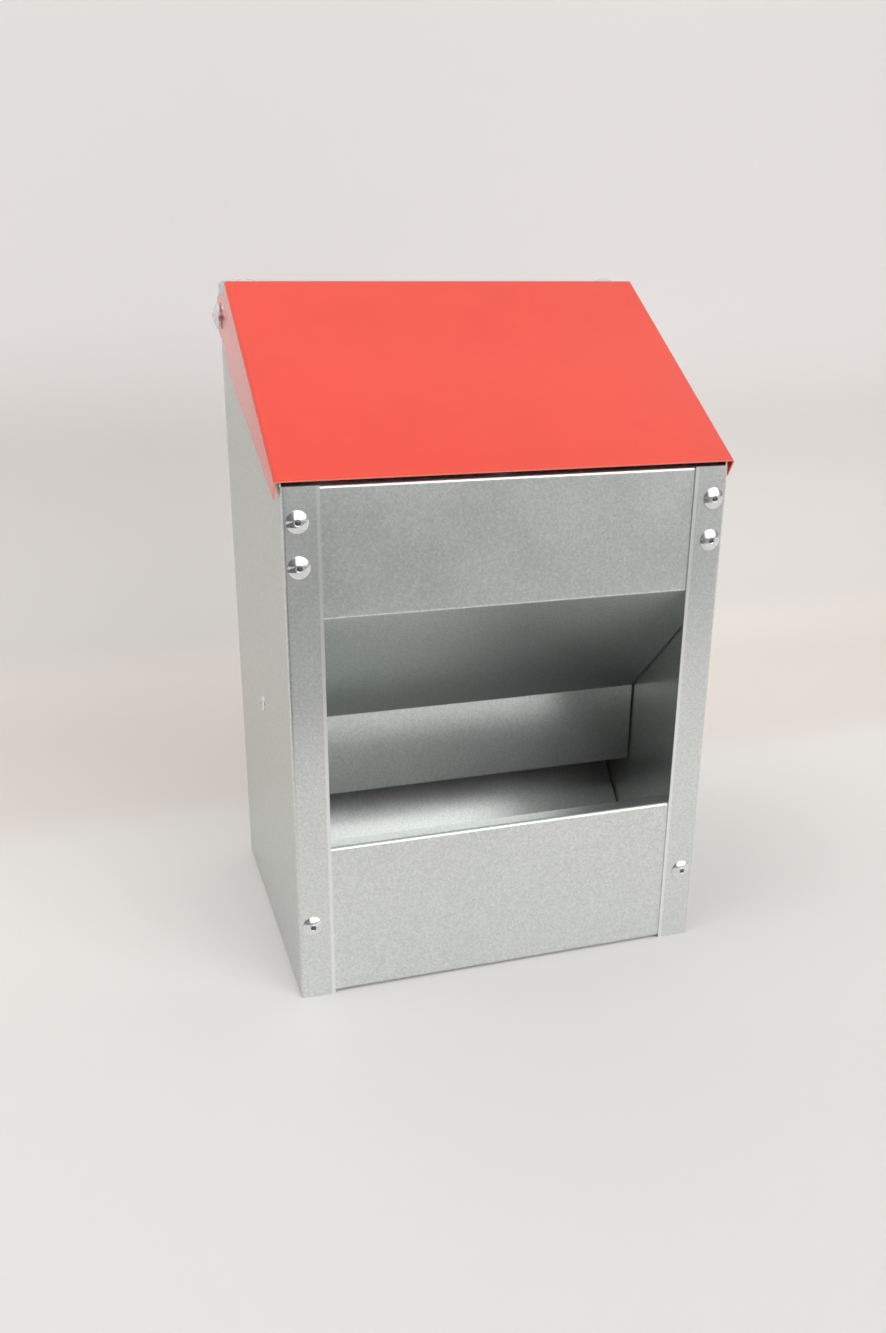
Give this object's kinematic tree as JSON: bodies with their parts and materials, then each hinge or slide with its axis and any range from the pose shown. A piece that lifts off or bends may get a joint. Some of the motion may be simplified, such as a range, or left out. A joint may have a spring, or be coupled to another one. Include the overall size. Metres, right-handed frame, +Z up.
{
  "type": "poultry feeder",
  "caption": "Wall-hung hopper feeder for poultry: folded galvanized body with an open feeding mouth over a trough, and a sloping hinged red lid.",
  "frame": {"origin": "middle of the base, on the surface that the feeder stands on", "axes": "+Z up, -Y towards the feeding side, +X to the right as the feeder is seen from its feeding side"},
  "size_m": [0.2112, 0.1602, 0.3143],
  "materials": {
    "galvanized_sheet": "galvanized, fine spangle, satin",
    "red_paint": "smooth, half gloss",
    "rivet": "bright, smooth",
    "washer": "zinc plated"
  },
  "bodies": {
    "feeder": {"side_panel_left": "galvanized_sheet", "side_panel_right": "galvanized_sheet", "back_panel": "galvanized_sheet", "front_panel": "galvanized_sheet", "feed_trough": "galvanized_sheet", "front_rivet_bottom_left": "rivet", "rear_rivet_bottom_left": "rivet", "front_rivet_middle_left": "rivet", "rear_rivet_middle_left": "rivet", "front_rivet_top_left": "rivet", "rear_rivet_top_left": "rivet", "top_rivet_left": "rivet", "baffle_rivet_left": "rivet", "hinge_rivet_left": "rivet", "hinge_washer_left": "washer", "front_rivet_bottom_right": "rivet", "rear_rivet_bottom_right": "rivet", "front_rivet_middle_right": "rivet", "rear_rivet_middle_right": "rivet", "front_rivet_top_right": "rivet", "rear_rivet_top_right": "rivet", "top_rivet_right": "rivet", "baffle_rivet_right": "rivet", "hinge_rivet_right": "rivet", "hinge_washer_right": "washer"},
    "lid": {"lid": "red_paint"}
  },
  "joints": [
    {"name": "lid_hinge", "type": "hinge", "parent": "feeder", "child": "lid", "pos_m": [0, 0.0585, 0.297], "axis": [-1, 0, 0], "range_deg": [0, 100]}
  ]
}
